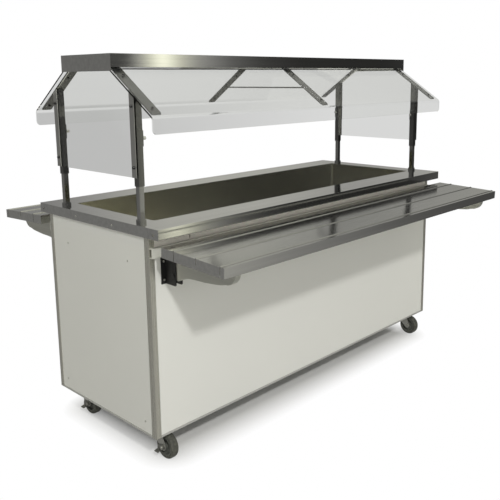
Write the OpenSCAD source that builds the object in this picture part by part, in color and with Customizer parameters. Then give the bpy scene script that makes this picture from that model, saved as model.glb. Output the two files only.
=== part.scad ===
// Mobile cold food bar: a cabinet on four swivel casters, an insulated pan hung in the
// countertop, folding tray slides on both long sides and a sneeze guard on four
// telescoping posts. Length runs along X, the front faces -Y, the floor is Z = 0.

/* [Countertop] */
// Length of the countertop
bar_l = 1880; // [1600:10:2300]
// Depth of the countertop, front to rear
bar_w = 794; // [740:2:900]
// Height of the countertop's top face above the floor
counter_z = 915; // [860:1:960]
// Height of the turned-down apron
apron_h = 38; // [30:1:50]
// Thickness of the stainless sheet
sheet_t = 1.5; // [1:0.1:2]
// Width of the apron's inward return along the long sides
apron_return = 12; // [6:1:20]
// Height of the fastener line below the countertop's top face
apron_bolt_drop = 22; // [16:1:26]
// Distance of the outer holes in each end apron from the countertop's long edges
apron_hole_inset = 28; // [20:1:40]
// Half distance between the two inner screws in each end apron
apron_screw_y = 123; // [80:1:200]
// Distance of the corner seams in each end apron from the countertop's long edges
seam_from_edge = 55; // [40:1:80]
// Radius of the outer holes in each end apron
apron_hole_r = 4.5; // [3:0.5:6]

/* [Cold pan] */
// Width of countertop left at each end of the opening
rim_end = 90; // [84:1:140]
// Width of countertop left in front of and behind the opening
rim_side = 137; // [130:1:170]
// Inside depth of the pan
pan_depth = 260; // [150:5:320]
// Radius of the pan's upright corners
pan_corner_r = 12; // [8:1:30]
// Width of the pan's hanging flange
pan_flange_w = 44; // [42:1:48]
// Thickness of the foam round the pan
foam_t = 38; // [20:1:40]
// Thickness of the sheet casing round the foam
casing_t = 1; // [0.8:0.1:1.5]
// Gap left round pieces that nest in each other
nest_gap = 0.3; // [0.2:0.05:0.5]

/* [Drain] */
// Outer radius of the drain pipe
drain_r = 16.7; // [12:0.1:20]
// Wall of the drain pipe
drain_wall = 3.4; // [2:0.1:4]
// Length of pipe below the pan before the valve
drain_drop = 220; // [120:5:230]
// Length of the valve body
valve_l = 64; // [50:1:80]
// Radius of the valve body
valve_r = 25; // [23:1:32]
// Length of the valve's outlet nipple
outlet_l = 40; // [25:1:50]
// Length of the valve's lever
lever_l = 110; // [70:1:140]

/* [Cabinet] */
// Distance from the countertop's end to the cabinet's end
end_inset = 5; // [4:0.5:12]
// Distance from the countertop's long edge to the cabinet's face
side_inset = 62; // [40:1:64]
// Thickness of the laminate panels
panel_t = 12; // [8:1:18]
// Leg of the corner angle
angle_leg = 24; // [18:1:40]
// Thickness of the corner angle and of the bottom lip
angle_t = 1.5; // [1:0.1:2]
// Outside corner radius of the corner angle
angle_r = 3; // [2:0.5:4]
// Height of the stainless lip round the bottom
lip_h = 8; // [6:1:20]
// Thickness of the base frame's flat members
frame_t = 3; // [2:0.5:5]
// Width of the base frame's perimeter members
frame_w = 80; // [50:1:120]
// Height of the base frame's upright flange
frame_up = 45; // [25:1:60]
// Size of the base frame's corner plates
gusset = 160; // [150:1:200]
// Half distance between the two cross members
cross_x = 310; // [200:5:400]
// Width of a cross member
cross_w = 50; // [30:1:80]
// Distance from the cabinet's left end to the slot in the front panel
slot_from_end = 188; // [150:1:400]
// Width of the slot in the front panel
slot_w = 6; // [4:0.5:10]
// Height of the slot in the front panel
slot_h = 30; // [15:1:40]
// Distance of the end panels' lower screws from the cabinet's edge
low_screw_in = 65; // [40:1:120]
// Height of those screws above the cabinet's lower edge
low_screw_up = 50; // [30:1:90]
// Distance of the end panels' upper screws from the cabinet's edge
high_screw_in = 131; // [60:1:160]
// Distance of those screws below the apron
high_screw_down = 105; // [40:1:140]

/* [Tray slides] */
// Distance from the countertop's end to the slide's end
slide_end_inset = 3; // [2:1:30]
// Width of a slide
slide_w = 312; // [306:1:360]
// Height of the slide's turned-down edges
slide_edge = 36; // [26:1:45]
// Outward drop of a slide in use, in degrees
slide_tilt = 2.5; // [0:0.5:4]
// Distance of the first two beads from the slide's inner edge
bead_1 = 65; // [50:1:90]
// Second bead
bead_2 = 178; // [150:1:200]
// Distance of the third bead from the slide's outer edge
bead_3 = 19; // [17:1:52]
// Radius of a bead
bead_r = 5; // [4:0.5:8]
// Depth of a bead's centre below the slide's face
bead_sink = 2; // [1:0.5:3]
// Width of the notches where the end tabs meet
end_notch = 3; // [1:0.5:4]

/* [Folding brackets] */
// Distance from the cabinet's face to the pivot
pivot_out = 44; // [40:1:52]
// Distance of the pivot below the countertop's top face
pivot_drop = 180; // [170:1:200]
// Height of the slide's face above the pivot
slide_rise = 123; // [115:1:126]
// Distance from the pivot out to the slide's inner edge
slide_out = 25; // [22:1:30]
// Distance from the countertop's end to the middle of a bracket
bracket_inset = 89; // [70:1:300]
// Width of a folding arm
arm_w = 24; // [16:1:30]
// Wall of a folding arm
arm_t = 2.5; // [2:0.5:4]
// Radius of the arm's round end at the pivot
tongue_r = 14; // [12:1:15]
// Distance from the pivot out to the arm's back edge
arm_back = 6; // [4:1:8]
// Radius of the arm's rounded nose
nose_r = 45; // [42:1:48]
// Distance from the pivot to the centre of the nose
nose_a = 267; // [258:1:275]
// Radius of the pivot pin
pin_r = 5; // [4:0.5:6]
// Running clearance of pins and studs
run_gap = 0.06; // [0.03:0.01:0.1]
// Side clearance between an arm and its bracket
side_gap = 0.5; // [0.3:0.1:1]
// Width of the wall plate
wall_plate_w = 67; // [58:1:90]
// Height of the wall plate
wall_plate_h = 98; // [94:1:110]
// Thickness of the bracket's plates
bracket_t = 3; // [2:0.5:4]
// Distance of the wall plate's screws from its upright edges
plate_screw_side = 12; // [10:1:16]
// Distance of the wall plate's screws from its ends
plate_screw_end = 15; // [10:1:24]
// Distance of the bracket's lower edge below the pivot
plate_drop = 36; // [30:1:42]
// Reach of the bracket's cheeks out from the cabinet's face
cheek_out = 59; // [56:1:64]
// Radius of the cheeks' outer corners
cheek_r = 6; // [3:0.5:10]
// Radius of a hinge pin's head
pin_head_r = 8; // [7:0.5:10]
// Height of a hinge pin's head
pin_head_h = 2; // [1:0.5:4]
// Height of the mounting rail
rail_h = 36; // [20:1:38]
// Depth of the mounting rail
rail_d = 12; // [6:1:20]
// Distance of the rail's top below the countertop's top face
rail_drop = 76; // [60:1:78]

/* [Guard posts] */
// Distance from the countertop's end to the middle of a post
post_inset = 39; // [37:1:44]
// Half distance between the front and rear posts
post_y = 253; // [220:1:253]
// Width of the lower tube
tube_w = 20; // [18:1:22]
// Wall of both tubes
tube_t = 2; // [1.5:0.1:2.4]
// Clearance between the lower tube and the sleeve, each side
tube_gap = 0.5; // [0.3:0.1:0.8]
// Length of the lower tube above its slot
tube_over = 24; // [14:1:30]
// Height of the sleeve's lower end above the countertop
sleeve_z = 131; // [110:1:150]
// Height of the collar at the foot of a post
collar_h = 12; // [6:1:20]
// Wall of the collar
collar_t = 3; // [2:0.5:5]
// Height of the clamp knob above the countertop
knob_z = 300; // [290:1:310]
// Travel of the guard below its usual height
guard_down = 40; // [20:1:40]
// Travel of the guard above its usual height
guard_up = 80; // [20:1:80]
// Radius of the clamp stud
stud_r = 3; // [2.5:0.5:4]
// Radius of the clamp knob
knob_r = 6.5; // [5.5:0.5:9]
// Length of the clamp knob
knob_l = 14; // [10:1:20]
// Height of the clamp plate
clamp_h = 56; // [46:1:70]
// Half distance between the clamp plate's screws
clamp_screw = 20.5; // [18:0.5:26]

/* [Guard canopy] */
// Distance from the countertop's end to the overshelf's end
shelf_end_inset = 2.5; // [2:0.5:10]
// Depth of the overshelf, front to rear
shelf_w = 327; // [300:1:340]
// Height of the overshelf's top above the countertop
shelf_z = 593; // [585:1:640]
// Height of the overshelf's long faces
shelf_face = 47; // [40:1:55]
// Height of the overshelf's end caps
shelf_cap = 61; // [56:1:64]
// Width of the overshelf's inward returns
shelf_return = 60; // [50:1:80]
// Fall of the shields below the horizontal, in degrees
guard_angle = 34.3; // [32:0.1:36]
// Distance of the shield's outer face below the overshelf's edge
guard_gap = 14; // [12:0.5:18]
// Thickness of the acrylic
acrylic_t = 6; // [5:0.5:8]
// Distance from the middle to the shield's bend
bend_y = 389; // [380:1:395]
// Height of the shield's upright lip
lip_drop = 57; // [40:1:70]
// Outside radius of the shield's bend
bend_r = 18; // [12:1:24]
// Radius of the shield's lower corners
shield_corner = 16; // [8:1:24]
// Width of the canopy straps
strap_w = 42; // [34:1:44]
// Thickness of the canopy straps
strap_t = 4; // [3:0.5:5]
// Distance from the middle to a strap's lower end
strap_end_y = 365; // [330:1:370]
// Radius of the tie rod
tie_r = 3; // [2:0.5:4]
// Height of the tie rod above the countertop
tie_z = 457; // [440:1:470]
// Height of the end panels' lower edge above the countertop
end_panel_z = 163; // [150:1:200]
// Width of the strips that clamp the end panels
strip_w = 25; // [18:1:25]
// Thickness of those strips
strip_t = 3; // [2:0.5:4]
// Height of the lower cap nut above the strip's lower end
strip_bolt_low = 36; // [20:1:60]
// Distance between the strip's two cap nuts
strip_bolt_gap = 213; // [180:1:230]
// Distance of the strap bolts from the overshelf and from the strap's end
strap_bolt_in = 21; // [15:1:30]

/* [Casters] */
// Overall height of a caster
caster_h = 118; // [117:1:130]
// Radius of the wheel
wheel_r = 50; // [44:1:50]
// Width of the tyre
tyre_w = 32; // [24:1:34]
// Thickness of the tyre
tyre_t = 13; // [8:1:16]
// Distance from the swivel axis back to the axle
trail = 38; // [30:1:40]
// Distance from the cabinet's end to the swivel axis
swivel_from_end = 80; // [60:1:100]
// Distance from the cabinet's face to the swivel axis
swivel_from_side = 77; // [60:1:100]
// Radius of the axle
axle_r = 5; // [4:0.5:6]
// Gap between the fork's legs
fork_gap = 39; // [37:1:44]
// Thickness of the fork
fork_t = 3; // [2:0.5:4]
// Length of a caster's top plate
top_plate_l = 104; // [96:1:120]
// Width of a caster's top plate
top_plate_w = 82; // [76:1:90]
// Distance of the top plate's bolts from its edges
top_plate_bolt = 12; // [9:1:15]
// Thickness of a caster's top plate
top_plate_t = 3; // [2:0.5:4]
// Radius of the ball race
race_r = 25; // [22:1:30]
// Height of the ball race
race_h = 6; // [5:0.5:8]
// Radius of the kingpin
king_r = 6; // [5:0.5:7]

/* [Fasteners] */
// Radius of a bolt head
head_r = 5; // [3:0.5:6]
// Height of a bolt head
head_h = 3; // [2:0.5:4]
// Height of a nut
nut_h = 4; // [3:0.5:6]
// Radius of a small screw's head
small_head_r = 3.5; // [2.5:0.5:4.5]
// Height of a small screw's head
small_head_h = 2; // [1:0.5:3]
// Radius of a cap nut on the end panels' strips
cap_r = 5.5; // [4:0.5:7]
// Height of a cap nut
cap_h = 6; // [4:0.5:8]

/* [Hidden] */
$fn = 48;
cut = 0.5;
seat_gap = 0.02;

steel = [0.72, 0.72, 0.69];
dark_steel = [0.16, 0.16, 0.16];
laminate = [0.86, 0.86, 0.82];
clear = [0.85, 0.92, 0.92, 0.45];
rubber = [0.13, 0.13, 0.12];
zinc = [0.55, 0.55, 0.55];

body_l = bar_l - 2 * end_inset;
body_w = bar_w - 2 * side_inset;
face_y = body_w / 2;
top_under = counter_z - sheet_t;
well_l = bar_l - 2 * rim_end;
well_w = bar_w - 2 * rim_side;
pan_floor = counter_z - sheet_t - pan_depth;
flange_under = top_under - sheet_t;
foam_floor = pan_floor - sheet_t - foam_t;
case_floor = foam_floor - casing_t;
valve_top = case_floor - drain_drop;
valve_z = valve_top - valve_l / 2;

slide_l = bar_l - 2 * slide_end_inset;
bracket_x = bar_l / 2 - bracket_inset;
pivot_y = face_y + pivot_out;
pivot_z = counter_z - pivot_drop;
edge_low = slide_rise - slide_edge;
plate_low = pivot_z - plate_drop;
plate_out = bracket_t - angle_t;

post_x = bar_l / 2 - post_inset;
slot_low = knob_z - guard_down - 2 * stud_r;
slot_len = guard_down + guard_up + 4 * stud_r;
tube_h = slot_low + slot_len + tube_over;
sleeve_w = tube_w + 2 * tube_gap + 2 * tube_t;
shelf_l = bar_l - 2 * shelf_end_inset;
shelf_top = counter_z + shelf_z;
shelf_under = shelf_top - shelf_face;
slope = tan(guard_angle);
shield_over = shelf_under - guard_gap;
bend_z = shield_over - (bend_y - shelf_w / 2) * slope;
clamp_x = post_x - sleeve_w / 2 - bracket_t;
panel_x = post_x + sleeve_w / 2;

swivel_x = body_l / 2 - swivel_from_end;
swivel_y = face_y - swivel_from_side;
hub_r = wheel_r - tyre_t;
fork_out = fork_gap / 2 + fork_t;
race_z = caster_h - top_plate_t - race_h;
crown_z = race_z - 2;
king_nut_h = 6 - nest_gap;
king_low = crown_z - fork_t - nest_gap - king_nut_h;

// ---- helpers -------------------------------------------------------------

// Height of the shield's outer face at a distance y from the middle
function shield_z(y) = shield_over - (y - shelf_w / 2) * slope;
// Height of a face that lies d inside the shield's outer face
function under_z(y, d) = shield_z(y) - d / cos(guard_angle);
// Distance from the middle at which that inner face reaches height z
function under_y(z, d) = shelf_w / 2 + (shield_over - d / cos(guard_angle) - z) / slope;
// Points of an arc
function arc(c, r, a0, a1, n) =
    [for (i = [0:n]) c + r * [cos(a0 + (a1 - a0) * i / n), sin(a0 + (a1 - a0) * i / n)]];

// Extrudes a profile drawn as (Y, Z) along X, about the middle
module along_x(len) rotate([90, 0, 90]) translate([0, 0, -len / 2]) linear_extrude(len) children();

module box(size, pos) translate(pos - [size.x / 2, size.y / 2, 0]) cube(size);

module round_box(size, r, pos)
    translate(pos) linear_extrude(size.z) rounded(size.x, size.y, r);

module rounded(l, w, r) {
    square([l - 2 * r, w], center = true);
    square([l, w - 2 * r], center = true);
    for (x = [-1, 1], y = [-1, 1]) translate([x * (l / 2 - r), y * (w / 2 - r)]) circle(r);
}

// A shell open at the top
module tub(l, w, z0, z1, wall, floor_t, r) {
    difference() {
        round_box([l, w, z1 - z0], r, [0, 0, z0]);
        round_box([l - 2 * wall, w - 2 * wall, z1 - z0], max(r - wall, 0.5), [0, 0, z0 + floor_t]);
    }
}

module at_front() children();
module at_rear() mirror([0, 1, 0]) children();
module both_sides() {
    at_front() children();
    at_rear() children();
}
module both_ends() for (m = [0, 1]) mirror([m, 0, 0]) children();
module four_corners() both_ends() both_sides() children();

// ---- cabinet ---------------------------------------------------------------

module ring(l, w, wall, h, z) {
    difference() {
        box([l, w, h], [0, 0, z]);
        box([l - 2 * wall, w - 2 * wall, h + 2 * cut], [0, 0, z - cut]);
    }
}

module base_frame() color(steel) {
    inner_l = body_l - 2 * angle_t;
    inner_w = body_w - 2 * angle_t;
    groove = panel_t + nest_gap;
    ring(inner_l, inner_w, frame_w, frame_t, caster_h);
    ring(inner_l - 2 * groove, inner_w - 2 * groove, frame_t, frame_up, caster_h);
    difference() {
        ring(body_l, body_w, angle_t, lip_h, caster_h);
        for (x = [-1, 1], y = [-1, 1])
            box([2 * (angle_leg + nest_gap), 2 * (angle_leg + nest_gap), 3 * lip_h],
                [x * body_l / 2, y * body_w / 2, caster_h - lip_h]);
    }
    four_corners() translate([-inner_l / 2, -inner_w / 2, caster_h]) cube([gusset, gusset, frame_t]);
    for (x = [-cross_x, cross_x]) {
        box([cross_w, inner_w - frame_w, frame_t], [x, 0, caster_h]);
        for (side = [-1, 1])
            box([frame_t, inner_w - 2 * groove - frame_t, frame_up / 2],
                [x + side * (cross_w - frame_t) / 2, 0, caster_h]);
    }
}

module corner_posts() color(steel) four_corners()
    translate([-body_l / 2, -body_w / 2, caster_h]) linear_extrude(top_under - caster_h)
        difference() {
            intersection() {
                translate([body_l / 2, body_w / 2]) rounded(body_l, body_w, angle_r);
                square(angle_leg);
            }
            translate([angle_t, angle_t]) square(2 * angle_leg);
        }

module side_panel() translate([0, -face_y + angle_t + panel_t / 2, 0])
    box([body_l - 2 * angle_t, panel_t, top_under - caster_h - frame_t], [0, 0, caster_h + frame_t]);

module front_panel() color(laminate) difference() {
    side_panel();
    box([slot_w, 3 * panel_t, slot_h],
        [slot_from_end - body_l / 2, -face_y, counter_z - apron_h - slot_h - slot_w / 2]);
}

module rear_panel() color(laminate) at_rear() side_panel();

module end_panel() translate([body_l / 2 - angle_t - panel_t / 2, 0, 0])
    box([panel_t, body_w - 2 * angle_t - 2 * panel_t, top_under - caster_h - frame_t],
        [0, 0, caster_h + frame_t]);

module left_end_panel() color(laminate) mirror([1, 0, 0]) end_panel();
module right_end_panel() color(laminate) end_panel();

module screw_head(r = head_r, h = head_h) {
    cylinder(r = r, h = h * 0.45);
    translate([0, 0, h * 0.45]) cylinder(r1 = r, r2 = r * 0.6, h = h * 0.55, $fn = 24);
}

module small_screw() screw_head(small_head_r, small_head_h);

// Screws on the end panels, in the end aprons and on the wall brackets
module cabinet_screws() color(zinc) {
    panel_face = body_l / 2 - angle_t;
    plate_hole = wall_plate_w / 2 - plate_screw_side;
    low = [low_screw_in, caster_h + low_screw_up];
    high = [high_screw_in, counter_z - apron_h - high_screw_down];
    both_ends() both_sides() {
        for (p = [low, high])
            translate([panel_face, p.x - face_y, p.y]) rotate([0, 90, 0]) small_screw();
        translate([bar_l / 2, -apron_screw_y, counter_z - apron_bolt_drop]) rotate([0, 90, 0]) small_screw();
        for (side = [-1, 1], z = [plate_screw_end, wall_plate_h - plate_screw_end])
            translate([bracket_x + side * plate_hole, -face_y - plate_out, plate_low + z])
                rotate([90, 0, 0]) screw_head(head_r - 0.5, head_h);
    }
}

// ---- countertop, pan and drain ----------------------------------------------

module countertop() color(steel) {
    difference() {
        union() {
            difference() {
                round_box([bar_l, bar_w, apron_h], 2, [0, 0, counter_z - apron_h]);
                round_box([bar_l - 2 * sheet_t, bar_w - 2 * sheet_t, apron_h], 1,
                          [0, 0, counter_z - apron_h - sheet_t]);
            }
            both_sides() translate([0, -bar_w / 2 + apron_return / 2, 0])
                box([bar_l - 2 * sheet_t, apron_return, sheet_t], [0, 0, counter_z - apron_h]);
        }
        round_box([well_l, well_w, apron_h], pan_corner_r, [0, 0, counter_z - apron_h / 2]);
        for (y = [-1, 1])
            translate([0, y * (bar_w / 2 - apron_hole_inset), counter_z - apron_bolt_drop]) rotate([0, 90, 0])
                cylinder(r = apron_hole_r, h = 2 * bar_l, center = true);
        for (x = [-1, 1], y = [-1, 1])
            box([sheet_t, sheet_t / 2, apron_h],
                [x * bar_l / 2, y * (bar_w / 2 - seam_from_edge), counter_z - apron_h - cut]);
    }
}

module cold_pan() color(steel) difference() {
    union() {
        tub(well_l + 2 * sheet_t, well_w + 2 * sheet_t, pan_floor - sheet_t, top_under, sheet_t,
            sheet_t, pan_corner_r + sheet_t);
        difference() {
            box([well_l + 2 * pan_flange_w, well_w + 2 * pan_flange_w, sheet_t], [0, 0, flange_under]);
            round_box([well_l, well_w, 3 * sheet_t], pan_corner_r, [0, 0, flange_under - sheet_t]);
        }
    }
    translate([0, 0, pan_floor - sheet_t - cut])
        cylinder(r = drain_r + nest_gap, h = sheet_t + 2 * cut);
}

foam_l = well_l + 2 * sheet_t + 2 * nest_gap;
foam_w = well_w + 2 * sheet_t + 2 * nest_gap;

module drain_hole(z) translate([0, 0, z]) cylinder(r = drain_r + nest_gap, h = 2 * foam_t, center = true);

module pan_insulation() color([0.9, 0.86, 0.6]) difference() {
    round_box([foam_l + 2 * foam_t, foam_w + 2 * foam_t, flange_under - foam_floor], 4, [0, 0, foam_floor]);
    round_box([foam_l, foam_w, pan_depth + foam_t], pan_corner_r + sheet_t + nest_gap,
              [0, 0, pan_floor - sheet_t]);
    drain_hole(foam_floor + foam_t / 2);
}

module pan_casing() color(zinc) difference() {
    tub(foam_l + 2 * (foam_t + nest_gap + casing_t), foam_w + 2 * (foam_t + nest_gap + casing_t),
        case_floor, flange_under, casing_t, casing_t, 5);
    drain_hole(case_floor);
}

module drain_pipe() color(steel) difference() {
    union() {
        translate([0, 0, valve_top - 14]) cylinder(r = drain_r, h = pan_floor + 2 - valve_top + 14);
        translate([0, 0, pan_floor]) cylinder(r = drain_r + 14, h = 2);
    }
    translate([0, 0, valve_top - 20]) cylinder(r = drain_r - drain_wall, h = 2 * (pan_floor - valve_top));
}

module drain_valve() color([0.75, 0.62, 0.35]) difference() {
    union() {
        translate([0, 0, valve_top - valve_l]) cylinder(r = valve_r, h = valve_l);
        for (z = [valve_top - 15, valve_top - valve_l])
            translate([0, 0, z]) cylinder(r = valve_r + 2.5, h = 15, $fn = 6);
        translate([0, 0, valve_top - valve_l - outlet_l]) cylinder(r = drain_r, h = outlet_l + 1);
        translate([0, 0, valve_z]) rotate([90, 0, 0]) cylinder(r = 9, h = valve_r + 10);
        translate([0, 0, valve_z]) rotate([90, 0, 0]) cylinder(r = 4, h = valve_r + 20);
    }
    translate([0, 0, valve_top - 14 - nest_gap]) cylinder(r = drain_r + 0.1, h = 20);
    translate([0, 0, valve_top - valve_l - outlet_l - cut])
        cylinder(r = drain_r - drain_wall, h = valve_l + outlet_l - 14);
}

module valve_lever() color([0.2, 0.25, 0.6]) translate([0, -valve_r - 10 - nest_gap, valve_z]) difference() {
    rotate([90, 0, 0]) {
        cylinder(r = 12, h = 3);
        translate([0, -8, 0]) cube([lever_l * 0.45, 16, 3]);
        translate([lever_l * 0.45, -10, 0]) cube([lever_l * 0.55 - 10, 20, 5]);
        translate([lever_l - 10, 0, 0]) cylinder(r = 10, h = 5);
    }
    rotate([90, 0, 0]) translate([0, 0, -cut]) cylinder(r = 4 + run_gap, h = 8);
}

// ---- tray slides -------------------------------------------------------------

module mounting_rails() color(steel) both_sides()
    translate([0, -face_y - rail_d / 2, counter_z - rail_drop - rail_h]) difference() {
        box([body_l - 2 * end_inset, rail_d, rail_h], [0, 0, 0]);
        box([bar_l, rail_d, rail_h - 2 * bracket_t], [0, bracket_t, bracket_t]);
    }

// Bracket cheek, drawn as (distance out from the cabinet, height above the pivot)
module cheek_outline() {
    top = wall_plate_h - plate_drop;
    difference() {
        union() {
            translate([plate_out, -plate_drop]) square([cheek_out - cheek_r - plate_out, wall_plate_h]);
            translate([plate_out, cheek_r - plate_drop])
                square([cheek_out - plate_out, wall_plate_h - 2 * cheek_r]);
            for (z = [cheek_r - plate_drop, top - cheek_r])
                translate([cheek_out - cheek_r, z]) circle(cheek_r);
        }
        translate([pivot_out, 0]) circle(pin_r + seat_gap);
    }
}

module wall_bracket() translate([0, -face_y, 0]) {
    cheek_x = arm_w / 2 + side_gap;
    translate([0, bracket_t / 2 - plate_out, 0])
        box([wall_plate_w, bracket_t, wall_plate_h], [0, 0, plate_low]);
    for (side = [-1, 1]) translate([side * (cheek_x + bracket_t / 2), 0, pivot_z])
        along_x(bracket_t) mirror([1, 0]) cheek_outline();
}

module wall_brackets() color(dark_steel) both_sides()
    for (x = [-bracket_x, bracket_x]) translate([x, 0, 0]) wall_bracket();

module hinge_pins() color(zinc) both_sides() for (x = [-bracket_x, bracket_x])
    translate([x, -pivot_y, pivot_z]) rotate([0, 90, 0]) {
        reach = arm_w / 2 + side_gap + bracket_t;
        cylinder(r = pin_r, h = 2 * reach, center = true);
        for (side = [-1, 1]) translate([0, 0, side * (reach + pin_head_h / 2)])
            cylinder(r = pin_head_r, h = pin_head_h, center = true);
    }

// Puts a slide or arm drawn about its pivot where it stands in use
module at_pivot() translate([0, -pivot_y, pivot_z]) rotate([slide_tilt, 0, 0]) children();

// Slide section, drawn as (distance out from the pivot, height above it)
module slide_section() {
    beads = [bead_1, bead_2, slide_w - bead_3];
    bead_c = slide_rise - bead_sink;
    difference() {
        translate([slide_out, edge_low]) square([slide_w, slide_edge]);
        translate([slide_out + sheet_t, edge_low - sheet_t]) square([slide_w - 2 * sheet_t, slide_edge]);
        for (b = beads) translate([slide_out + b, bead_c]) circle(bead_r - 1);
    }
    for (b = beads) intersection() {
        difference() {
            translate([slide_out + b, bead_c]) circle(bead_r);
            translate([slide_out + b, bead_c]) circle(bead_r - sheet_t);
        }
        translate([slide_out + b - bead_r, slide_rise - sheet_t]) square([2 * bead_r, bead_r]);
    }
}

module tray_slide() {
    along_x(slide_l) mirror([1, 0]) slide_section();
    difference() {
        both_ends() translate([slide_l / 2 - sheet_t, -slide_out - slide_w, edge_low])
            cube([sheet_t, slide_w, slide_edge]);
        for (b = [bead_1, slide_w - bead_3]) translate([0, -slide_out - b, 0])
            box([2 * slide_l, end_notch, slide_edge], [0, 0, edge_low - sheet_t]);
        translate([0, -slide_out - bead_2, 0])
            box([2 * slide_l, end_notch, slide_edge / 2], [0, 0, edge_low + slide_edge / 2 - sheet_t]);
    }
}

// Arm outline with every edge drawn in by d and the open top at height top
module arm_outline(d, top) {
    knuckle = [24, 12 - tongue_r];
    nose = [nose_a, edge_low - 8];
    belly = [[36, -4], [56, 1], [79, 8], [114, 12.5], [161, 15.5], [201, 20.5], [240, 26]];
    circle(tongue_r - d);
    translate(knuckle) circle(12 - d);
    polygon(concat([[arm_back + d, top], [arm_back + d, 0], [0, d - tongue_r], [knuckle.x, d - tongue_r]],
                   [for (p = belly) p + [0, d]],
                   arc(nose, nose_r - d, 270, 360, 10), [[nose_a + nose_r - d, top]]));
}

module slide_arm() difference() {
    along_x(arm_w) mirror([1, 0]) {
        arm_outline(0, edge_low);
        translate([slide_out + 2 * sheet_t, edge_low - 1])
            square([nose_a - slide_out, slide_edge + 1 - sheet_t]);
    }
    along_x(arm_w - 2 * arm_t) mirror([1, 0]) arm_outline(arm_t, slide_rise * 2);
    rotate([0, 90, 0]) cylinder(r = pin_r + run_gap, h = 2 * arm_w, center = true);
}

module slide_arms() for (x = [-bracket_x, bracket_x]) translate([x, 0, 0]) slide_arm();

module front_tray_slide() color(steel) at_front() at_pivot() tray_slide();
module rear_tray_slide() color(steel) at_rear() at_pivot() tray_slide();
module front_slide_arms() color(steel) at_front() at_pivot() slide_arms();
module rear_slide_arms() color(steel) at_rear() at_pivot() slide_arms();

// ---- guard posts ---------------------------------------------------------------

module lower_posts() color(steel) four_corners() translate([post_x, -post_y, counter_z]) difference() {
    box([tube_w, tube_w, tube_h], [0, 0, 0]);
    box([tube_w - 2 * tube_t, tube_w - 2 * tube_t, tube_h + 2 * cut], [0, 0, -cut]);
    box([2 * tube_t, 2 * stud_r + 1, slot_len], [-tube_w / 2, 0, slot_low]);
}

module post_collars() color(steel) four_corners() translate([post_x, -post_y, counter_z])
    ring(tube_w + 2 * collar_t, tube_w + 2 * collar_t, collar_t, collar_h, 0);

// Everything above the underside of the straps, to trim what meets them
module above_straps() both_sides() along_x(2 * bar_l) mirror([1, 0])
    polygon([[0, under_z(0, acrylic_t + strap_t)], [bar_w, under_z(bar_w, acrylic_t + strap_t)],
             [bar_w, shelf_top + bar_w], [0, shelf_top + bar_w]]);

module sleeves() color(steel) difference() {
    four_corners() translate([post_x, -post_y, counter_z]) difference() {
        box([sleeve_w, sleeve_w, shelf_z - sleeve_z], [0, 0, sleeve_z]);
        box([sleeve_w - 2 * tube_t, sleeve_w - 2 * tube_t, shelf_z], [0, 0, sleeve_z - cut]);
        translate([-sleeve_w / 2, 0, knob_z]) rotate([0, 90, 0])
            cylinder(r = stud_r + run_gap, h = 3 * tube_t, center = true);
    }
    above_straps();
}

module clamp_plates() color(steel) four_corners() translate([clamp_x, -post_y, counter_z + knob_z])
    difference() {
        union() {
            translate([0, -sleeve_w / 2, -clamp_h / 2]) cube([bracket_t, sleeve_w, clamp_h]);
            rotate([0, -90, 0]) cylinder(r = stud_r + 2, h = 3);
        }
        rotate([0, 90, 0]) cylinder(r = stud_r + run_gap, h = 20, center = true);
    }

// Clamp screw with its knob; its tip runs in the lower tube's slot
module clamp_knob() translate([clamp_x, -post_y, counter_z + knob_z]) rotate([0, -90, 0]) {
    reach = bracket_t + tube_t + tube_gap + tube_t * 0.75;
    translate([0, 0, -reach]) cylinder(r = stud_r, h = reach + 5);
    translate([0, 0, 3.3]) difference() {
        union() {
            cylinder(r = knob_r, h = knob_l - 2);
            translate([0, 0, knob_l - 2]) cylinder(r1 = knob_r, r2 = knob_r - 1.5, h = 2);
        }
        for (a = [0:30:330]) rotate(a)
            translate([knob_r + 0.6, 0, -1]) cylinder(r = 1.3, h = knob_l + 2, $fn = 16);
    }
}

module front_left_knob() color(zinc) mirror([1, 0, 0]) clamp_knob();
module front_right_knob() color(zinc) clamp_knob();
module rear_left_knob() color(zinc) mirror([1, 0, 0]) at_rear() clamp_knob();
module rear_right_knob() color(zinc) at_rear() clamp_knob();

// ---- guard canopy ----------------------------------------------------------------

// Strap section: level under the overshelf, then down behind each shield
module strap_section() {
    fold_y = under_y(shelf_under, acrylic_t);
    fold_in = under_y(shelf_under - strap_t, acrylic_t + strap_t);
    end_y = strap_end_y + strap_t;
    half = [[fold_y, shelf_under], [end_y, under_z(end_y, acrylic_t)],
            [end_y, under_z(end_y, acrylic_t + strap_t)], [fold_in, shelf_under - strap_t]];
    polygon(concat(half, [for (i = [3:-1:0]) [-half[i].x, half[i].y]]));
}

// Strap with rounded lower ends, running over from shield to shield
module canopy_frame(x) color(steel) translate([x, 0, 0]) intersection() {
    along_x(2 * strap_w) strap_section();
    linear_extrude(shelf_top) rounded(strap_w, 2 * strap_end_y, strap_w / 7);
}

module left_frame() canopy_frame(-post_x);
module middle_frame() canopy_frame(0);
module right_frame() canopy_frame(post_x);

module tie_rod() color(steel) difference() {
    translate([0, 0, counter_z + tie_z]) rotate([90, 0, 0])
        cylinder(r = tie_r, h = bar_w, center = true, $fn = 32);
    above_straps();
}

module overshelf() color(steel) {
    difference() {
        box([shelf_l, shelf_w, shelf_face], [0, 0, shelf_under]);
        box([shelf_l - 2 * sheet_t, shelf_w - 2 * sheet_t, shelf_face], [0, 0, shelf_under - sheet_t]);
    }
    both_sides() translate([0, -shelf_w / 2 + shelf_return / 2, 0])
        box([shelf_l - 2 * sheet_t, shelf_return, sheet_t], [0, 0, shelf_under]);
    both_ends() translate([shelf_l / 2 - sheet_t, -shelf_w / 2, shelf_top - shelf_cap])
        cube([sheet_t, shelf_w, shelf_cap]);
}

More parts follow.
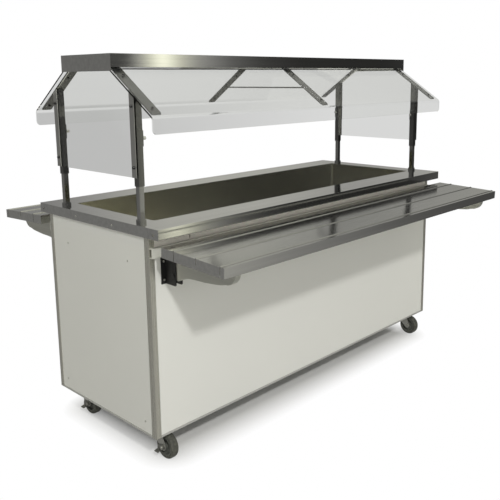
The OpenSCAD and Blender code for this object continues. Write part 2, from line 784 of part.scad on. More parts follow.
// Shield section: a sloping face, a rounded bend and an upright lip
module shield_section() {
    in_y = shelf_w / 2 - guard_gap / slope + 2;
    turn = 90 - guard_angle;
    back = bend_r * tan(turn / 2);
    start = [bend_y - back * cos(guard_angle), bend_z + back * sin(guard_angle)];
    centre = [bend_y - bend_r, start.y - bend_r * cos(guard_angle)];
    low = bend_z - lip_drop;
    inner = acrylic_t * [sin(guard_angle), cos(guard_angle)];
    polygon(concat(
        [[in_y, shield_z(in_y)]], arc(centre, bend_r, turn, 0, 8), [[bend_y, low], [bend_y - acrylic_t, low]],
        arc(centre, bend_r - acrylic_t, 0, turn, 8), [[in_y, shield_z(in_y)] - inner]));
}

module shield() {
    half = shelf_l / 2 - sheet_t - cut;
    low = bend_z - lip_drop;
    difference() {
        along_x(2 * half) mirror([1, 0]) shield_section();
        both_ends() translate([half, -bend_y, low]) difference() {
            translate([-shield_corner, -cut, -cut])
                cube([shield_corner + cut, acrylic_t + 2 * cut, shield_corner + cut]);
            translate([-shield_corner, 2 * bend_r, shield_corner]) rotate([90, 0, 0])
                cylinder(r = shield_corner, h = 4 * bend_r);
        }
    }
}

module front_shield() color(clear) at_front() shield();
module rear_shield() color(clear) at_rear() shield();

// End panel with its upper corners clipped along the straps
module end_shield() translate([panel_x, 0, counter_z]) {
    edge_y = post_y + sleeve_w / 2;
    reach = acrylic_t + strap_t + nest_gap;
    top = shelf_under - strap_t - nest_gap - counter_z;
    translate([acrylic_t / 2, 0, 0]) along_x(acrylic_t)
        polygon([for (m = [-1, 1], i = [0:2])
            let (k = m < 0 ? i : 2 - i, y = [edge_y, edge_y, under_y(top + counter_z, reach)][k],
                 z = [end_panel_z, under_z(edge_y, reach) - counter_z, top][k])
            [m * y, z]]);
}

module left_end_shield() color(clear) mirror([1, 0, 0]) end_shield();
module right_end_shield() color(clear) end_shield();

module shield_strips() color(steel) difference() {
    four_corners() translate([panel_x + acrylic_t, -post_y - strip_w / 2, counter_z + end_panel_z])
        cube([strip_t, strip_w, shelf_z]);
    translate([0, 0, -nest_gap]) above_straps();
}

// Bolts of the strips, the clamp plates and the shields
module canopy_bolts() color(zinc) four_corners() {
    translate([panel_x + acrylic_t + strip_t, -post_y, counter_z])
        for (i = [0, 1]) translate([0, 0, end_panel_z + strip_bolt_low + i * strip_bolt_gap])
            rotate([0, 90, 0]) screw_head(cap_r, cap_h);
    for (side = [-1, 1])
        translate([clamp_x, -post_y, counter_z + knob_z + side * clamp_screw])
            rotate([0, -90, 0]) screw_head(small_head_r, head_h);
    for (x = [0, post_x], y = [shelf_w / 2 + strap_bolt_in, strap_end_y - strap_bolt_in])
        if (x > 0) strap_bolt(x, y); else intersection() {
            strap_bolt(x, y);
            translate([0, -bar_w, counter_z]) cube([bar_l, bar_w, shelf_z]);
        }
}

module strap_bolt(x, y) translate([x, -y, shield_z(y)]) rotate([guard_angle, 0, 0]) {
    translate([0, 0, seat_gap]) screw_head(head_r, head_h);
    translate([0, 0, -acrylic_t - strap_t - seat_gap - nut_h]) cylinder(r = head_r, h = nut_h, $fn = 6);
}

// ---- casters -----------------------------------------------------------------------

// Puts a caster drawn about its swivel axis, brake side outward, under each corner
module at_caster(end, side)
    translate([end * swivel_x, side * swivel_y, 0]) mirror([end < 0 ? 1 : 0, 0, 0]) children();

module caster_plate() {
    box([top_plate_l, top_plate_w, top_plate_t], [0, 0, caster_h - top_plate_t]);
    translate([0, 0, race_z]) cylinder(r = race_r, h = race_h);
    translate([0, 0, king_low]) {
        cylinder(r = king_r, h = race_z + 1 - king_low);
        cylinder(r = king_r + 3, h = king_nut_h, $fn = 6);
    }
    for (x = [-1, 1], y = [-1, 1])
        translate([x * (top_plate_l / 2 - top_plate_bolt), y * (top_plate_w / 2 - top_plate_bolt),
                   caster_h - top_plate_t - nut_h])
            cylinder(r = 6, h = nut_h + 1, $fn = 6);
}

module caster_plates() color(zinc)
    for (e = [-1, 1], s = [-1, 1]) at_caster(e, s) caster_plate();

// Side view of a fork leg, as (Y, Z)
module leg_outline() difference() {
    union() {
        polygon([[-27, crown_z], [-trail - 14, wheel_r + 4], [-trail - 10, wheel_r - 10],
                 [-trail + 10, wheel_r - 10], [26, crown_z - 18], [27, crown_z]]);
        translate([-trail, wheel_r]) circle(14);
    }
    translate([-trail, wheel_r]) circle(axle_r + 0.05);
}

module fork() {
    for (side = [-1, 1]) translate([side * (fork_out - fork_t / 2), 0, 0]) along_x(fork_t) leg_outline();
    difference() {
        union() {
            box([2 * fork_out, 2 * race_r + 4, fork_t], [0, 0, crown_z - fork_t]);
            translate([0, 0, crown_z - 1]) cylinder(r = race_r + 4, h = race_z - nest_gap - crown_z + 1);
        }
        translate([0, 0, king_low]) cylinder(r = king_r + nest_gap, h = 40);
    }
    translate([0, -trail, wheel_r]) rotate([0, 90, 0]) {
        cylinder(r = axle_r, h = 2 * fork_out + 21, center = true);
        for (side = [-1, 1])
            translate([0, 0, side * (fork_out + 6.5)]) cylinder(r = 8, h = 5, center = true, $fn = 6);
    }
}

// Hub with a bearing boss, a thin web and a rim
module hub() translate([0, -trail, wheel_r]) rotate([0, 90, 0]) rotate_extrude()
    polygon([[axle_r + 0.08, -fork_gap / 2 + 0.5], [13, -fork_gap / 2 + 0.5], [13, -5], [hub_r - 6, -5],
             [hub_r - 4, -tyre_w / 2 + 1], [hub_r, -tyre_w / 2 + 1], [hub_r, tyre_w / 2 - 1],
             [hub_r - 4, tyre_w / 2 - 1], [hub_r - 6, 5], [13, 5], [13, fork_gap / 2 - 0.5],
             [axle_r + 0.08, fork_gap / 2 - 0.5]]);

// Tyre with a flat crown and rounded shoulders
module tyre() translate([0, -trail, wheel_r]) rotate([0, 90, 0]) rotate_extrude($fn = 72) {
    half = tyre_w / 2;
    polygon(concat([[hub_r, half - 1]], arc([wheel_r - 8, half - 8], 8, 90, 0, 5),
                   arc([wheel_r - 8, 8 - half], 8, 0, -90, 5), [[hub_r, 1 - half]]));
}

// Side brake lever round the axle, with its foot tab turned outward
module brake() translate([0, -trail, wheel_r]) difference() {
    lever_x = fork_out + nest_gap;
    union() {
        translate([lever_x, 0, 0]) rotate([0, 90, 0]) cylinder(r = 11, h = 2.5);
        translate([lever_x + 1.25, 0, 0]) along_x(2.5)
            polygon([[-4, 10], [8, 9], [30, 2], [32, -12], [14, -18], [-4, -10]]);
        translate([lever_x, 10, -17]) rotate([0, 14, 0]) cube([18, 22, 2.5]);
    }
    rotate([0, 90, 0]) cylinder(r = axle_r + run_gap, h = 4 * fork_out, center = true);
}

module front_left_fork() color(zinc) at_caster(-1, -1) fork();
module front_right_fork() color(zinc) at_caster(1, -1) fork();
module rear_left_fork() color(zinc) at_caster(-1, 1) fork();
module rear_right_fork() color(zinc) at_caster(1, 1) fork();
module front_left_hub() color(zinc) at_caster(-1, -1) hub();
module front_right_hub() color(zinc) at_caster(1, -1) hub();
module rear_left_hub() color(zinc) at_caster(-1, 1) hub();
module rear_right_hub() color(zinc) at_caster(1, 1) hub();
module front_left_tyre() color(rubber) at_caster(-1, -1) tyre();
module front_right_tyre() color(rubber) at_caster(1, -1) tyre();
module rear_left_tyre() color(rubber) at_caster(-1, 1) tyre();
module rear_right_tyre() color(rubber) at_caster(1, 1) tyre();
module front_left_brake() color(zinc) at_caster(-1, -1) brake();
module front_right_brake() color(zinc) at_caster(1, -1) brake();
module rear_left_brake() color(zinc) at_caster(-1, 1) brake();
module rear_right_brake() color(zinc) at_caster(1, 1) brake();

// ---- nodes ---------------------------------------------------------------------------

base_frame();
corner_posts();
front_panel();
rear_panel();
left_end_panel();
right_end_panel();
countertop();
cold_pan();
pan_insulation();
pan_casing();
drain_pipe();
drain_valve();
valve_lever();
cabinet_screws();
mounting_rails();
wall_brackets();
hinge_pins();
front_tray_slide();
front_slide_arms();
rear_tray_slide();
rear_slide_arms();
lower_posts();
post_collars();
sleeves();
clamp_plates();
front_left_knob();
front_right_knob();
rear_left_knob();
rear_right_knob();
left_frame();
middle_frame();
right_frame();
tie_rod();
overshelf();
front_shield();
rear_shield();
left_end_shield();
right_end_shield();
shield_strips();
canopy_bolts();
caster_plates();
front_left_fork();
front_right_fork();
rear_left_fork();
rear_right_fork();
front_left_hub();
front_right_hub();
rear_left_hub();
rear_right_hub();
front_left_tyre();
front_right_tyre();
rear_left_tyre();
rear_right_tyre();
front_left_brake();
front_right_brake();
rear_left_brake();
rear_right_brake();
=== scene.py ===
import math

import bpy
from mathutils import Matrix, Vector

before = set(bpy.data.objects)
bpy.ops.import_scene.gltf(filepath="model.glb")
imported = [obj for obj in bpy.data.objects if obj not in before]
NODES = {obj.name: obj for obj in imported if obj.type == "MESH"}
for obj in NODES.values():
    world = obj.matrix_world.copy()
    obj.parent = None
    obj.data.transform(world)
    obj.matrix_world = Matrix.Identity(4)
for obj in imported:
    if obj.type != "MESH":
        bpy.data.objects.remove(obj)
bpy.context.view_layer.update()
CORNERS = ("front_left", "front_right", "rear_left", "rear_right")


# ---- camera: position and angles fitted to the photograph --------------------

CAM_POS = Vector((-2.29463, -2.19314, 1.42138))
YAW, PITCH, ROLL = -0.8126, 0.18175, -0.00889
LENS_MM, SENSOR_MM = 48.459, 36
SHIFT_X, SHIFT_Y = -0.0351, -0.0985
CLIP_END = 60


def add_camera():
    look = Vector((-math.sin(YAW) * math.cos(PITCH), math.cos(YAW) * math.cos(PITCH), -math.sin(PITCH)))
    right = look.cross(Vector((0, 0, 1))).normalized()
    up = right.cross(look)
    right, up = (math.cos(ROLL) * right + math.sin(ROLL) * up,
                 math.cos(ROLL) * up - math.sin(ROLL) * right)
    data = bpy.data.cameras.new("camera")
    data.lens, data.sensor_width = LENS_MM, SENSOR_MM
    data.shift_x, data.shift_y = SHIFT_X, SHIFT_Y
    data.clip_end = CLIP_END
    cam = bpy.data.objects.new("camera", data)
    cam.matrix_world = Matrix.Translation(CAM_POS) @ Matrix((right, up, -look)).transposed().to_4x4()
    bpy.context.scene.collection.objects.link(cam)
    bpy.context.scene.camera = cam


# ---- materials ---------------------------------------------------------------

# Brushed scratches: noise scale across and along the grain, and their depth in metres
SCRATCH_ACROSS, SCRATCH_ALONG, SCRATCH_DEPTH = 900.0, 3.0, 0.00002
# Cloudy wear over them: noise scale across and along the grain, and share by which it changes the colour
WEAR_ACROSS, WEAR_ALONG, WEAR = 60.0, 1.2, 0.09
# Radius in metres to which the shading rounds the edges of thin sheet and of thicker pieces
SHEET_EDGE, THICK_EDGE = 0.0006, 0.0005
# Left and right end of the bar, in metres
BAR_ENDS = (-0.9, 0.9)
# Part of the pan over which a painted highlight in its steel fades from bright to plain, and the two colours
PAN_PAINTED_LIGHT_PART = (-0.85, 0.1)
PAN_PAINTED_LIGHT, PAN_PLAIN = (1.0, 0.98, 0.82), (0.55, 0.545, 0.51)
# Two tones between which the laminate drifts
LAMINATE_DARK, LAMINATE_LIGHT = (0.725, 0.725, 0.7), (0.755, 0.755, 0.725)
# Height in metres above which the long panels are painted lighter and warmer behind the tray slides, painted
# light on a strip that the apron and the slides keep in shade
RAIL_TOP = 0.839


class Mat:
    """A procedural material built round one Principled shader."""

    def __init__(self, name, colour, rough, metal=0.0, **sockets):
        self.mat = bpy.data.materials.new(name)
        self.mat.use_nodes = True
        self.tree = self.mat.node_tree
        self.bsdf = self.tree.nodes["Principled BSDF"]
        self.set("Base Color", (*colour, 1))
        self.set("Roughness", rough)
        self.set("Metallic", metal)
        for key, value in sockets.items():
            self.set(key.replace("_", " "), value)
        self.coord = self.tree.nodes.new("ShaderNodeTexCoord").outputs["Object"]

    def set(self, key, value):
        self.bsdf.inputs[key].default_value = value

    def node(self, kind, **values):
        """A new node; each value sets the property or else the input of that name."""
        n = self.tree.nodes.new(kind)
        for key, value in values.items():
            if hasattr(n, key):
                setattr(n, key, value)
            else:
                n.inputs[key.replace("_", " ")].default_value = value
        return n

    def link(self, a, b):
        self.tree.links.new(a, b)

    def show(self, shader):
        self.link(shader, self.tree.nodes["Material Output"].inputs["Surface"])

    def axis(self, name, vector=None):
        """The X, Y or Z of a vector, or of the object coordinates."""
        split = self.node("ShaderNodeSeparateXYZ")
        self.link(vector or self.coord, split.inputs[0])
        return split.outputs[name]

    def noise(self, stretch, detail, offset=(0, 0, 0)):
        """Noise on object coordinates, scaled on each axis by stretch."""
        place = self.node("ShaderNodeMapping")
        place.inputs["Scale"].default_value = stretch
        place.inputs["Location"].default_value = offset
        self.link(self.coord, place.inputs["Vector"])
        n = self.node("ShaderNodeTexNoise", Scale=1.0, Detail=detail, Roughness=0.55)
        self.link(place.outputs["Vector"], n.inputs["Vector"])
        return n.outputs["Fac"]

    def ramp(self, fac, low, high, lo_at=0.3, hi_at=0.7):
        """Maps a factor onto low..high between two of its values."""
        m = self.node("ShaderNodeMapRange")
        for key, value in (("From Min", lo_at), ("From Max", hi_at), ("To Min", low), ("To Max", high)):
            m.inputs[key].default_value = value
        self.link(fac, m.inputs["Value"])
        return m.outputs["Result"]

    def mix(self, fac, a, b):
        """Blends two colours."""
        m = self.node("ShaderNodeMix", data_type="RGBA")
        m.inputs["A"].default_value = (*a, 1)
        m.inputs["B"].default_value = (*b, 1)
        self.link(fac, m.inputs["Factor"])
        return m.outputs["Result"]

    def bump(self, height, distance, strength, edge=0.0):
        """Surface relief in metres, with edges rounded to a radius."""
        b = self.node("ShaderNodeBump", Strength=strength, Distance=distance)
        self.link(height, b.inputs["Height"])
        if edge:
            bevel = self.node("ShaderNodeBevel", Radius=edge)
            bevel.samples = 4
            self.link(bevel.outputs["Normal"], b.inputs["Normal"])
        self.link(b.outputs["Normal"], self.bsdf.inputs["Normal"])


def brushed(name, grain, colour=(0.56, 0.56, 0.545), rough=(0.12, 0.2), metal=1.0, lift=0.5, along=None):
    """Brushed sheet: fine scratches stretched along one axis, faint cloudy wear over them.

    lift is the strength of the scratches. along paints light: it gives the colour at the left and right
    end of the bar as shares of it, a painted reflection graded along the bar.
    """
    m = Mat(name, colour, rough[0], metal)
    scratch = m.noise([SCRATCH_ALONG if axis == grain else SCRATCH_ACROSS for axis in "XYZ"], 2.0)
    cloud = m.noise([WEAR_ALONG if axis == grain else WEAR_ACROSS for axis in "XYZ"], 3.0, offset=(3, 7, 5))
    m.link(m.ramp(scratch, *rough), m.bsdf.inputs["Roughness"])
    shade = m.mix(m.ramp(cloud, 0, 1, 0.25, 0.75), [c * (1 - WEAR) for c in colour],
                  [min(c * (1 + WEAR), 1) for c in colour])
    # painted reflection: the colour graded from the left end of the bar to the right
    if along:
        scale = m.node("ShaderNodeVectorMath", operation="SCALE")
        m.link(shade, scale.inputs[0])
        m.link(m.ramp(m.axis("X"), *along, *BAR_ENDS), scale.inputs["Scale"])
        shade = scale.outputs[0]
    m.link(shade, m.bsdf.inputs["Base Color"])
    m.bump(scratch, SCRATCH_DEPTH, lift, SHEET_EDGE)
    return m.mat


def pan_steel():
    """Satin steel of the pan, with a painted highlight that makes it brighter and warmer towards its left end.
    """
    m = Mat("steel_pan", PAN_PLAIN, 0.22, 1.0)
    scratch = m.noise((SCRATCH_ALONG, SCRATCH_ACROSS, SCRATCH_ACROSS), 2.0)
    # painted highlight: bright and warm at the left end of the pan, plain further right
    m.link(m.mix(m.ramp(m.axis("X"), 0.0, 1.0, *PAN_PAINTED_LIGHT_PART), PAN_PAINTED_LIGHT, PAN_PLAIN),
           m.bsdf.inputs["Base Color"])
    m.link(m.ramp(scratch, 0.18, 0.27), m.bsdf.inputs["Roughness"])
    m.bump(scratch, SCRATCH_DEPTH, 0.12, SHEET_EDGE)
    return m.mat


def cast(name, colour, rough, metal):
    """Plated or painted metal with a slightly uneven skin."""
    m = Mat(name, colour, rough, metal)
    skin = m.noise((220,) * 3, 3.0)
    m.link(m.ramp(skin, max(rough - 0.08, 0.05), rough + 0.1), m.bsdf.inputs["Roughness"])
    m.bump(skin, 0.0001, 0.3, THICK_EDGE)
    return m.mat


def laminate(name, upper, shade=1.0):
    """Smooth off-white laminate with a fine orange-peel surface; above RAIL_TOP it takes the colour upper,
    painted light, and shade darkens its tones for a copy in painted shade.
    """
    m = Mat(name, LAMINATE_LIGHT, 0.42, Specular_IOR_Level=0.4)
    tone = m.noise((1.1,) * 3, 2.0)
    # painted light: above RAIL_TOP the colour upper replaces the laminate's tones
    edge = m.node("ShaderNodeMix", data_type="RGBA")
    m.link(m.ramp(m.axis("Z"), 0.0, 1.0, RAIL_TOP, RAIL_TOP + 0.001), edge.inputs["Factor"])
    # shade scales both tones down, for a copy of the laminate in painted shade
    m.link(m.mix(m.ramp(tone, 0, 1), [c * shade for c in LAMINATE_DARK], [c * shade for c in LAMINATE_LIGHT]),
           edge.inputs["A"])
    edge.inputs["B"].default_value = (*upper, 1)
    m.link(edge.outputs["Result"], m.bsdf.inputs["Base Color"])
    m.bump(m.noise((700,) * 3, 2.0), 0.00003, 0.3, THICK_EDGE)
    return m.mat


def acrylic(name, tint):
    """Clear acrylic; shadow rays pass with a faint tint."""
    m = Mat(name, tint, 0.03, Transmission_Weight=1.0, IOR=1.16)
    path = m.node("ShaderNodeLightPath")
    clear = m.node("ShaderNodeBsdfTransparent", Color=(0.86, 0.88, 0.87, 1))
    pick = m.node("ShaderNodeMixShader")
    m.link(path.outputs["Is Shadow Ray"], pick.inputs[0])
    m.link(m.bsdf.outputs[0], pick.inputs[1])
    m.link(clear.outputs[0], pick.inputs[2])
    m.show(pick.outputs[0])
    return m.mat


def rubber():
    """Dark rubber with grey dust on it."""
    m = Mat("tyre_rubber", (0.06, 0.061, 0.052), 0.65)
    dust = m.noise((90,) * 3, 4.0)
    m.link(m.mix(m.ramp(dust, 0, 1, 0.35, 0.75), (0.055, 0.056, 0.048), (0.12, 0.122, 0.1)),
           m.bsdf.inputs["Base Color"])
    m.bump(m.noise((400,) * 3, 3.0), 0.0001, 0.4)
    return m.mat


def foam():
    """Yellowish insulating foam."""
    m = Mat("foam", (0.82, 0.75, 0.48), 0.9)
    m.bump(m.noise((250,) * 3, 4.0), 0.0006, 0.6)
    return m.mat


def dress(material, *names):
    """Gives a material to every slot of the named nodes."""
    for name in names:
        slots = NODES[name].data.materials
        if not slots:
            slots.append(material)
        for i in range(len(slots)):
            slots[i] = material


def dress_corners(material, piece):
    dress(material, *(f"{corner}_{piece}" for corner in CORNERS))


def dress_all():
    dress(brushed("steel_top", "X", rough=(0.05, 0.1), lift=0.25), "countertop")
    dress(brushed("steel_rail", "X", (0.75, 0.75, 0.69), (0.4, 0.55), metal=0.35), "mounting_rails")
    dress(brushed("steel_shelf", "X", (0.54, 0.54, 0.525), (0.04, 0.08), lift=0.3), "overshelf")
    # the slides are painted 1.3 times brighter at the left end and 0.65 times at the right, a painted reflection
    dress(brushed("steel_slide", "X", (0.44, 0.44, 0.425), (0.1, 0.17), lift=0.12, along=(1.3, 0.65)),
          "front_tray_slide", "rear_tray_slide")
    dress(pan_steel(), "cold_pan", "drain_pipe")
    dress(brushed("steel_post", "Z", (0.62, 0.61, 0.55), (0.22, 0.34), metal=0.85), "corner_posts")
    dress(brushed("steel_tube", "Z", (0.4, 0.4, 0.39), (0.06, 0.1), lift=0.1), "lower_posts", "post_collars")
    dress(brushed("steel_sleeve", "Z", (0.18, 0.18, 0.175), (0.07, 0.12), lift=0.1), "sleeves", "clamp_plates")
    dress(brushed("steel_strip", "Z", (0.53, 0.53, 0.51), (0.3, 0.42)), "shield_strips")
    dress(brushed("steel_strap", "Y", (0.23, 0.23, 0.24), (0.34, 0.46)),
          "left_frame", "middle_frame", "right_frame", "tie_rod")
    dress(brushed("steel_arm", "Y", (0.62, 0.62, 0.56), (0.3, 0.42), metal=0.85),
          "front_slide_arms", "rear_slide_arms")
    dress(brushed("steel_base", "X", (0.5, 0.5, 0.48), (0.32, 0.44), metal=0.3), "base_frame")
    # the long panels' upper band is painted light, lighter and warmer than the laminate
    dress(laminate("laminate_long", (0.95, 0.91, 0.85)), "front_panel", "rear_panel")
    # the end panels are a copy of the laminate darkened to 0.93, painted shade
    dress(laminate("laminate_end_painted_shade", (0.69, 0.69, 0.67), 0.93), "left_end_panel", "right_end_panel")
    dress(acrylic("acrylic_long", (0.965, 0.97, 0.96)), "front_shield", "rear_shield")
    dress(acrylic("acrylic_end", (0.945, 0.95, 0.94)), "left_end_shield", "right_end_shield")
    dress(cast("bracket_black", (0.02, 0.02, 0.02), 0.45, 0.2), "wall_brackets")
    zinc = cast("zinc_plate", (0.55, 0.55, 0.51), 0.38, 0.85)
    dress(zinc, "caster_plates", "cabinet_screws")
    dress_corners(zinc, "fork")
    dress(cast("bolt_dark", (0.07, 0.07, 0.07), 0.35, 1.0), "canopy_bolts", "hinge_pins")
    dress_corners(cast("brake_grey", (0.26, 0.26, 0.24), 0.45, 0.7), "brake")
    dress_corners(cast("knob_chrome", (0.85, 0.85, 0.84), 0.15, 1.0), "knob")
    dress_corners(cast("hub_grey", (0.14, 0.145, 0.13), 0.5, 0.2), "hub")
    dress_corners(rubber(), "tyre")
    dress(foam(), "pan_insulation")
    dress(brushed("galvanised", "X", (0.45, 0.46, 0.46), (0.4, 0.55)), "pan_casing")
    dress(cast("valve_brass", (0.6, 0.42, 0.16), 0.35, 1.0), "drain_valve")
    dress(cast("lever_blue", (0.04, 0.07, 0.3), 0.4, 0.0), "valve_lever")


# ---- floor, light and surroundings --------------------------------------------

FLOOR_SIZE = 60
# Half length and half depth in metres of the floor that keeps its shade, and the width over which it
# then fades to the white backdrop
SHADED, FADE = (0.8, 0.25, 0), 0.16
# Brightness of the backdrop seen through the acrylic, where the photograph shows the grey studio
BEHIND_ACRYLIC = 0.71
# The same for the floor, which grows brighter towards +X between two directions from the middle of the bar
FLOOR_BEHIND, FLOOR_TOWARD = (0.53, 0.72), (0.52, 0.8)

# The studio that the steel reflects. Its walls: brightness by azimuth in degrees from +X towards +Y.
WALLS = ((-180, 0.14), (-150, 0.2), (-120, 0.35), (-80, 0.35), (-64, 0.15), (-57, 0.1), (-55.2, 0.08),
         (-54.0, 0.12), (-53.1, 1.15), (-52.3, 2.15), (-50.2, 0.6), (-48.3, 0.36), (-46.3, 0.17), (-44, 0.08),
         (-41, 0.045), (-33, 0.035), (-28, 0.12), (-20, 0.16), (20, 0.55), (30, 0.42), (36, 0.38), (44, 0.5),
         (52, 0.52), (62, 0.28), (100, 0.25), (125, 0.22), (160, 0.16), (180, 0.14))
# Elevations in degrees over which the walls blend into floor and ceiling
FLOOR_BLEND, CEILING_BLEND = (-16, -9), (18, 40)
# Floor and ceiling: brightness by height, from 0 straight down over 0.5 at the horizon to 1 straight up
FLOOR_AND_CEILING = ((0.0, 0.34), (0.3, 0.25), (0.45, 0.28), (0.5, 0.34), (0.75, 0.52), (1.0, 0.78))
# Shading of that floor by azimuth, as a share of its brightness, and the heights over which it ends
FLOOR_SHARE = ((-180, 1.0), (-60, 1.0), (-52, 2.0), (-47, 1.9), (-42.5, 1.45), (-38.5, 1.17), (-33, 0.98),
               (-29, 0.86), (-25, 0.7), (-10, 0.8), (10, 1.0), (180, 1.0))
SHARE_ENDS = (0.42, 0.5)
# Tint of the studio's dim and bright parts, and the brightness over which one turns into the other
DIM_TINT, BRIGHT_TINT, TINT_TURNS = (1.0, 0.99, 0.96), (1.0, 1.0, 0.82), (0.3, 0.9)


def through_acrylic(tree, path):
    """1 for a view that has passed only through acrylic, 0 after any bounce off a surface."""
    bounces = tree.nodes.new("ShaderNodeMath")
    tree.links.new(path.outputs["Glossy Depth"], bounces.inputs[0])
    tree.links.new(path.outputs["Diffuse Depth"], bounces.inputs[1])
    direct = tree.nodes.new("ShaderNodeMath")
    direct.operation, direct.use_clamp = "SUBTRACT", True
    tree.links.new(path.outputs["Is Transmission Ray"], direct.inputs[0])
    tree.links.new(bounces.outputs[0], direct.inputs[1])
    return direct.outputs[0]


def add_floor():
    """Pale floor that fades to the white backdrop away from the object."""
    bpy.ops.mesh.primitive_plane_add(size=FLOOR_SIZE)
    floor = bpy.context.object
    floor.name = "floor"
    floor.visible_glossy = False
    m = Mat("floor_white", (0.9, 0.9, 0.895), 0.8, Specular_IOR_Level=0.1)

    # distance past the shaded part
    away = m.coord
    for operation, value in (("ABSOLUTE", None), ("SUBTRACT", SHADED), ("MAXIMUM", (0, 0, 0)), ("LENGTH", None)):
        step = m.node("ShaderNodeVectorMath", operation=operation)
        m.link(away, step.inputs[0])
        if value:
            step.inputs[1].default_value = value
        away = step.outputs["Value" if operation == "LENGTH" else "Vector"]
    far = m.ramp(away, 0.0, 1.0, 0.0, FADE)

    # only views see it fade, straight or through acrylic
    path = m.node("ShaderNodeLightPath")
    view = m.node("ShaderNodeMath", operation="MAXIMUM")
    m.link(path.outputs["Is Camera Ray"], view.inputs[0])
    m.link(through_acrylic(m.tree, path), view.inputs[1])
    seen = m.node("ShaderNodeMath", operation="MULTIPLY")
    m.link(far, seen.inputs[0])
    m.link(view.outputs[0], seen.inputs[1])

    # white for the straight view, grey through acrylic
    toward = m.node("ShaderNodeVectorMath", operation="NORMALIZE")
    m.link(m.coord, toward.inputs[0])
    level = m.node("ShaderNodeMix")
    m.link(path.outputs["Is Camera Ray"], level.inputs["Factor"])
    m.link(m.ramp(m.axis("X", toward.outputs["Vector"]), *FLOOR_BEHIND, *FLOOR_TOWARD), level.inputs["A"])
    level.inputs["B"].default_value = 1.0
    white = m.node("ShaderNodeEmission", Color=(1, 1, 1, 1))
    m.link(level.outputs["Result"], white.inputs["Strength"])

    pick = m.node("ShaderNodeMixShader")
    m.link(seen.outputs[0], pick.inputs[0])
    m.link(m.bsdf.outputs[0], pick.inputs[1])
    m.link(white.outputs[0], pick.inputs[2])
    m.show(pick.outputs[0])
    floor.data.materials.append(m.mat)


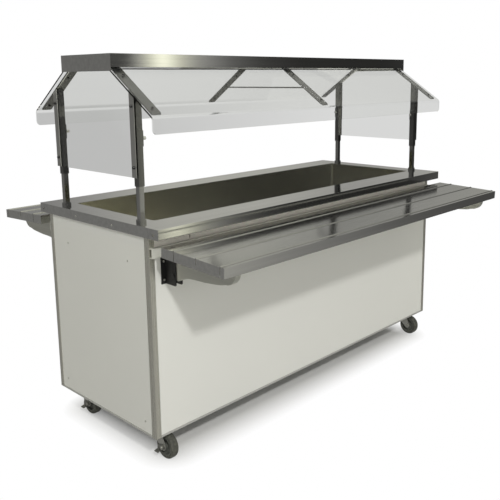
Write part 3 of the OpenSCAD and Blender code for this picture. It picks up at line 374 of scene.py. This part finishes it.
def add_world():
    """White backdrop for the camera, a graded studio for everything else."""
    world = bpy.data.worlds.new("studio")
    bpy.context.scene.world = world
    world.use_nodes = True
    nodes, links = world.node_tree.nodes, world.node_tree.links
    nodes.clear()

    def feed(value, socket):
        """Links an output to the socket, or sets the socket to a number."""
        if isinstance(value, (int, float)):
            socket.default_value = value
        else:
            links.new(value, socket)

    def calc(operation, *values):
        n = nodes.new("ShaderNodeMath")
        n.operation = operation
        for value, socket in zip(values, n.inputs):
            feed(value, socket)
        return n.outputs[0]

    def blend(factor, a, b):
        n = nodes.new("ShaderNodeMix")
        for value, name in ((factor, "Factor"), (a, "A"), (b, "B")):
            feed(value, n.inputs[name])
        return n.outputs["Result"]

    def curve(factor, stops):
        """A value by stops of (position, value), all from 0 to 1."""
        n = nodes.new("ShaderNodeFloatCurve")
        points = n.mapping.curves[0].points
        for i, stop in enumerate(stops):
            if i < 2:
                points[i].location = stop
            else:
                points.new(*stop)
        for point in points:
            point.handle_type = "VECTOR"
        n.mapping.update()
        links.new(factor, n.inputs["Value"])
        return n.outputs["Value"]

    def by_azimuth(stops):
        """A brightness by stops of (degrees, value)."""
        top = max(value for _, value in stops)
        return calc("MULTIPLY", curve(turn, [((a + 180) / 360, value / top) for a, value in stops]), top)

    def background(colour, strength):
        n = nodes.new("ShaderNodeBackground")
        n.inputs["Color"].default_value = (*colour, 1)
        feed(strength, n.inputs["Strength"])
        return n.outputs[0]

    split = nodes.new("ShaderNodeSeparateXYZ")
    links.new(nodes.new("ShaderNodeTexCoord").outputs["Generated"], split.inputs[0])
    turn = calc("MULTIPLY_ADD", calc("ARCTAN2", split.outputs["Y"], split.outputs["X"]), 0.5 / math.pi, 0.5)
    height = calc("MULTIPLY_ADD", split.outputs["Z"], 0.5, 0.5)

    low, low_wall, high_wall, high = (0.5 + 0.5 * math.sin(math.radians(a)) for a in FLOOR_BLEND + CEILING_BLEND)
    off_walls = curve(height, ((0, 1), (low, 1), (low_wall, 0), (high_wall, 0), (high, 1), (1, 1)))
    above_floor = curve(height, ((0, 0), (SHARE_ENDS[0], 0), (SHARE_ENDS[1], 1), (1, 1)))
    share = blend(above_floor, by_azimuth(FLOOR_SHARE), 1.0)
    brightness = blend(off_walls, by_azimuth(WALLS), calc("MULTIPLY", curve(height, FLOOR_AND_CEILING), share))

    warm = nodes.new("ShaderNodeMapRange")
    warm.inputs["From Min"].default_value, warm.inputs["From Max"].default_value = TINT_TURNS
    links.new(brightness, warm.inputs["Value"])
    tint = nodes.new("ShaderNodeMix")
    tint.data_type = "RGBA"
    tint.inputs["A"].default_value, tint.inputs["B"].default_value = (*DIM_TINT, 1), (*BRIGHT_TINT, 1)
    links.new(warm.outputs["Result"], tint.inputs["Factor"])
    shown = background((1, 1, 1), brightness)
    links.new(tint.outputs["Result"], shown.node.inputs["Color"])

    path = nodes.new("ShaderNodeLightPath")
    for ray, strength in ((through_acrylic(world.node_tree, path), BEHIND_ACRYLIC),
                          (path.outputs["Is Camera Ray"], 1.0)):
        pick = nodes.new("ShaderNodeMixShader")
        links.new(ray, pick.inputs[0])
        links.new(shown, pick.inputs[1])
        links.new(background((1, 1, 1), strength), pick.inputs[2])
        shown = pick.outputs[0]
    links.new(shown, nodes.new("ShaderNodeOutputWorld").inputs["Surface"])


def add_area(name, pos, target, size, power, colour):
    """A rectangular lamp; size in metres, power in watts."""
    data = bpy.data.lights.new(name, "AREA")
    data.shape, data.size, data.size_y = "RECTANGLE", *size
    data.energy, data.color = power, colour
    lamp = bpy.data.objects.new(name, data)
    lamp.location = pos
    lamp.rotation_euler = (Vector(target) - Vector(pos)).to_track_quat("-Z", "Y").to_euler()
    bpy.context.scene.collection.objects.link(lamp)


def light_scene():
    """A small key lamp that throws the slide's shadow, and a wide low one that fills the front."""
    add_area("key", (-3.6, -6.06, 5.5), (0, -0.3, 0.7), (0.48, 0.48), 280, (1.0, 0.995, 0.97))
    add_area("low_front", (-2.0, -5.2, 2.6), (-2.6, 0, 1.0), (8.0, 0.9), 26, (1.0, 0.99, 0.96))


add_camera()
dress_all()
add_floor()
add_world()
light_scene()
bpy.context.scene.view_settings.view_transform = "Standard"
